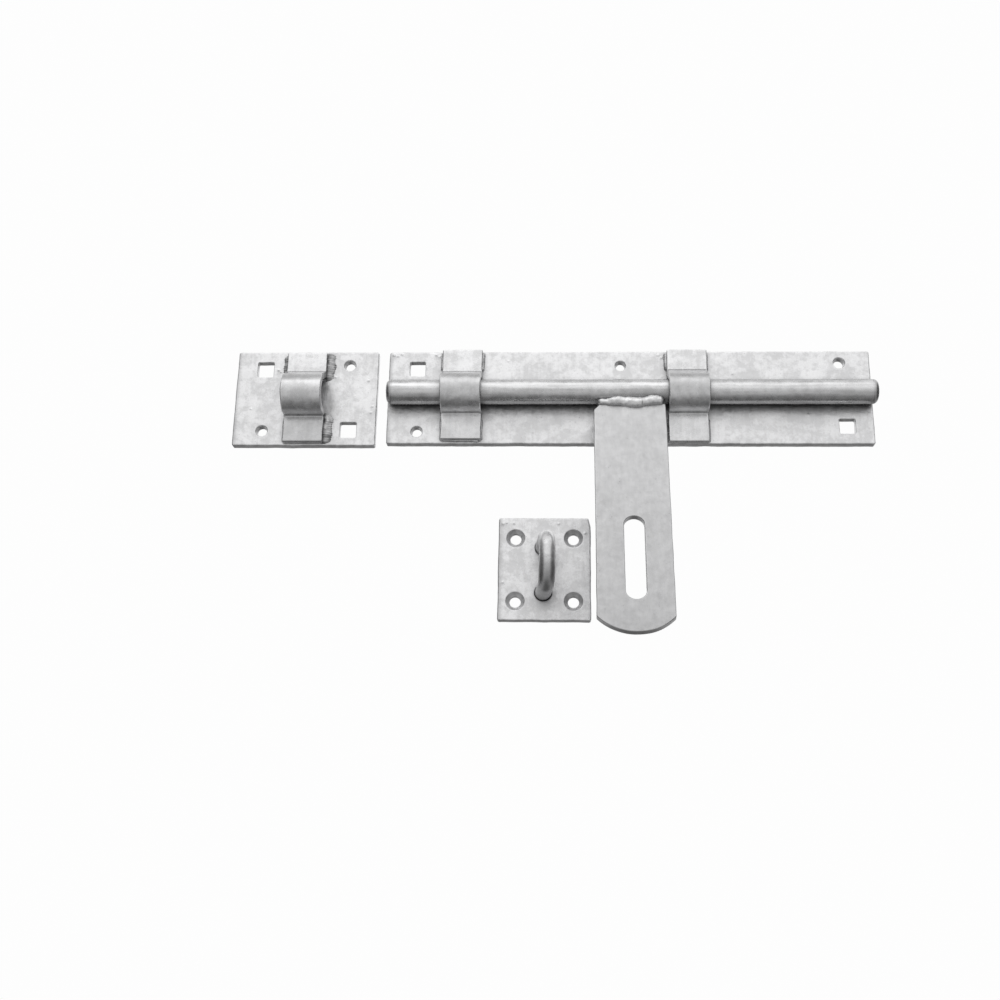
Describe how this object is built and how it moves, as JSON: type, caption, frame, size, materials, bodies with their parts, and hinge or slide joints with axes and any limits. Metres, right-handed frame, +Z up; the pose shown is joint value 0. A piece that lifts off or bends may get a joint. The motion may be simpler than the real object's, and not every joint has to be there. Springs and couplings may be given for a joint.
{
  "type": "padlocking sliding door bolt with hasp bar and staple",
  "caption": "Round sliding bolt in strap guides on a flat back plate, with a slotted hasp bar, a strap keeper and a staple loop on its own plate.",
  "frame": {"origin": "centre of the back plate's rear face, on the door's surface and level with the bolt's axis", "axes": "+X along the bolt to the right as seen from the front, +Y into the door, +Z up"},
  "size_m": [0.4045, 0.0582, 0.1979],
  "materials": {
    "plate": "hot-dip galvanised, dull",
    "strap": "hot-dip galvanised, dull",
    "wire": "hot-dip galvanised, dull",
    "bolt": "hot-dip galvanised, dull",
    "bar": "hot-dip galvanised, dull",
    "weld": "hot-dip galvanised, dull"
  },
  "bodies": {
    "mounting": {"back_plate": "plate", "left_guide": "strap", "right_guide": "strap", "left_guide_weld_upper_left": "weld", "left_guide_weld_upper_right": "weld", "left_guide_weld_lower_left": "weld", "left_guide_weld_lower_right": "weld", "left_guide_weld_end": "weld", "right_guide_weld_upper_left": "weld", "right_guide_weld_upper_right": "weld", "right_guide_weld_lower_left": "weld", "right_guide_weld_lower_right": "weld", "keeper_plate": "plate", "keeper_strap": "strap", "keeper_weld_upper_left": "weld", "keeper_weld_upper_right": "weld", "keeper_weld_lower_left": "weld", "keeper_weld_lower_right": "weld", "staple_plate": "plate", "staple_loop": "wire"},
    "bolt": {"bolt_rod": "bolt"},
    "hasp": {"hasp_bar": "bar", "hasp_weld_front": "weld", "hasp_weld_back": "weld"}
  },
  "joints": [
    {"name": "bolt_slide", "type": "slide", "parent": "mounting", "child": "bolt", "axis": [-1, 0, 0], "range_m": [0, 0.0526]},
    {"name": "hasp_swing", "type": "hinge", "parent": "bolt", "child": "hasp", "pos_m": [0, -0.01335, 0], "axis": [-1, 0, 0], "range_deg": [-14.5, 165.5]}
  ]
}
